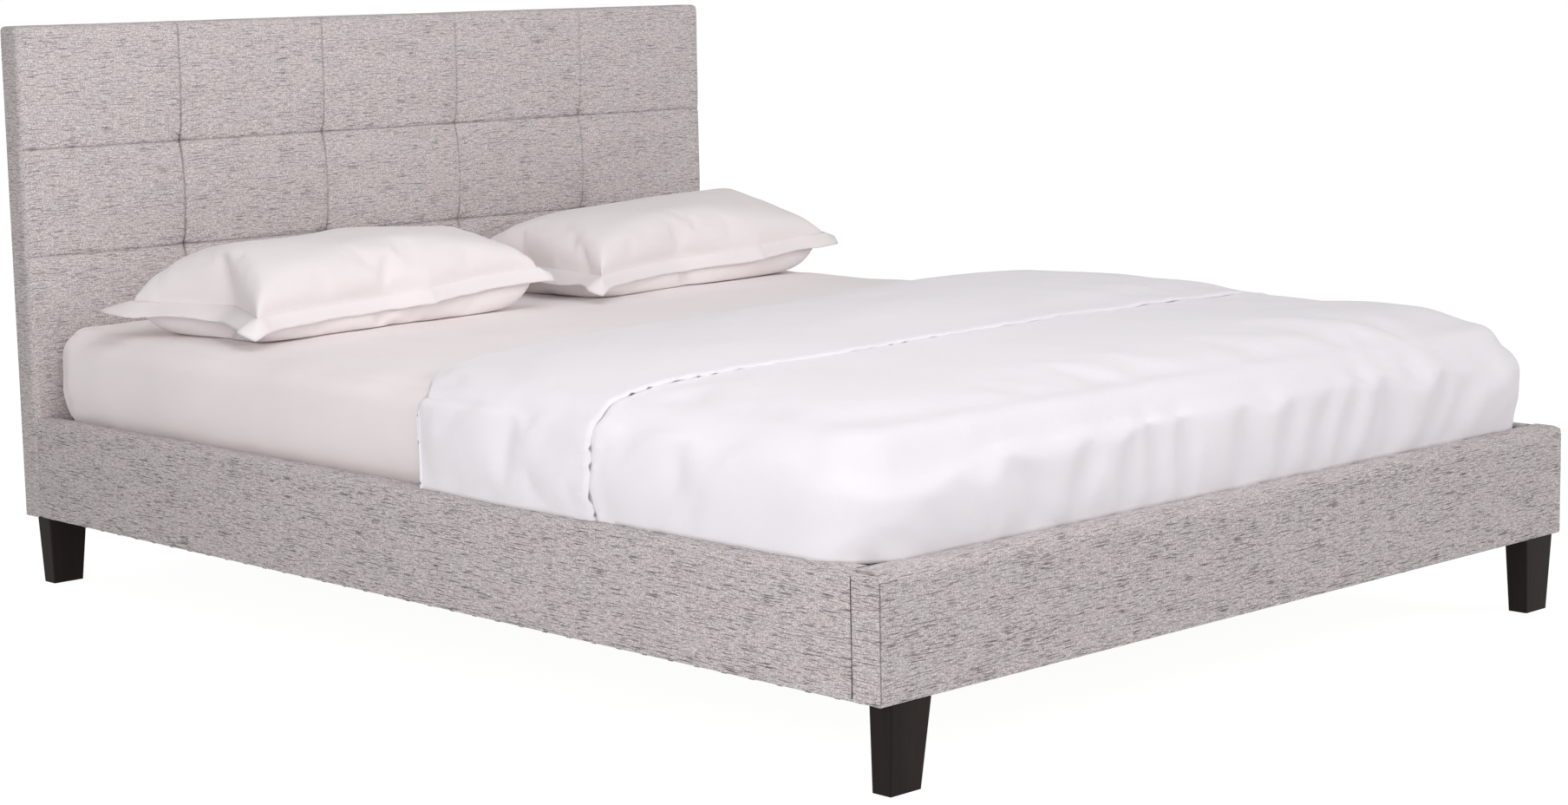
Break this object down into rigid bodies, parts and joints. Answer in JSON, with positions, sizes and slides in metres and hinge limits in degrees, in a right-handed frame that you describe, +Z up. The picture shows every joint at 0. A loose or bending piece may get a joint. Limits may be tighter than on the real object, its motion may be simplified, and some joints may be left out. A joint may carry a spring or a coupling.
{
  "type": "upholstered headboard bed",
  "caption": "Low platform bed with padded linen rails, a tufted rectangular headboard and tapered wooden legs, made up with mattress, pillows and a turned-back duvet.",
  "frame": {"origin": "on the floor, under the middle of the bed's outline", "axes": "+X to the right across the bed seen from its foot, +Y from foot to headboard, +Z up"},
  "size_m": [1.62, 2.155, 1],
  "materials": {
    "linen": "matte",
    "foam": "matte",
    "plywood": "matte",
    "pine": "satin",
    "jute": "matte",
    "back_cloth": "matte",
    "stained_wood": "satin",
    "steel": "satin",
    "foot_plastic": "matte",
    "sheeting": "matte",
    "duvet_cotton": "matte",
    "pillow_cotton": "matte"
  },
  "bodies": {
    "frame": {"headboard_cover": "linen", "side_rail_cover_left": "linen", "side_rail_cover_right": "linen", "foot_rail_cover": "linen", "headboard_foam": "foam", "side_rail_foam_left": "foam", "side_rail_foam_right": "foam", "foot_rail_foam": "foam", "headboard_plywood": "plywood", "headboard_stile_left": "pine", "headboard_stile_right": "pine", "headboard_top_rail": "pine", "headboard_middle_rail": "pine", "headboard_lower_rail": "pine", "side_rail_board_left": "pine", "side_rail_board_right": "pine", "foot_rail_board": "pine", "slat_ledger_left": "pine", "slat_ledger_right": "pine", "centre_beam": "pine", "centre_leg_foot": "pine", "centre_leg_head": "pine", "slat_01": "pine", "slat_02": "pine", "slat_03": "pine", "slat_04": "pine", "slat_05": "pine", "slat_06": "pine", "slat_07": "pine", "slat_08": "pine", "slat_09": "pine", "slat_10": "pine", "slat_11": "pine", "slat_12": "pine", "slat_13": "pine", "tuft_twine": "jute", "slat_webbing_left": "jute", "slat_webbing_right": "jute", "headboard_back_cloth": "back_cloth", "leg_foot_left": "stained_wood", "leg_foot_right": "stained_wood", "leg_head_left": "stained_wood", "leg_head_right": "stained_wood", "corner_bracket_foot_left": "steel", "corner_bracket_foot_right": "steel", "corner_bracket_head_left": "steel", "corner_bracket_head_right": "steel", "beam_hanger_foot": "steel", "beam_hanger_head": "steel"},
    "mattress": {"mattress": "sheeting"},
    "duvet": {"duvet": "duvet_cotton"},
    "pillow_left": {"pillow_left": "pillow_cotton"},
    "pillow_right": {"pillow_right": "pillow_cotton"},
    "levelling_foot_foot": {"levelling_foot_foot": "foot_plastic"},
    "levelling_foot_head": {"levelling_foot_head": "foot_plastic"}
  },
  "joints": [
    {"name": "mattress_lift", "type": "slide", "parent": "frame", "child": "mattress", "axis": [0, 0, 1], "range_m": [0, 0.35]},
    {"name": "duvet_lift", "type": "slide", "parent": "mattress", "child": "duvet", "axis": [0, 0, 1], "range_m": [0, 0.3]},
    {"name": "pillow_left_lift", "type": "slide", "parent": "mattress", "child": "pillow_left", "axis": [0, 0, 1], "range_m": [0, 0.3]},
    {"name": "pillow_right_lift", "type": "slide", "parent": "mattress", "child": "pillow_right", "axis": [0, 0, 1], "range_m": [0, 0.3]},
    {"name": "levelling_foot_foot_thread", "type": "slide", "parent": "frame", "child": "levelling_foot_foot", "axis": [0, 0, -1], "range_m": [-0.012, 0.012]},
    {"name": "levelling_foot_head_thread", "type": "slide", "parent": "frame", "child": "levelling_foot_head", "axis": [0, 0, -1], "range_m": [-0.012, 0.012]}
  ]
}
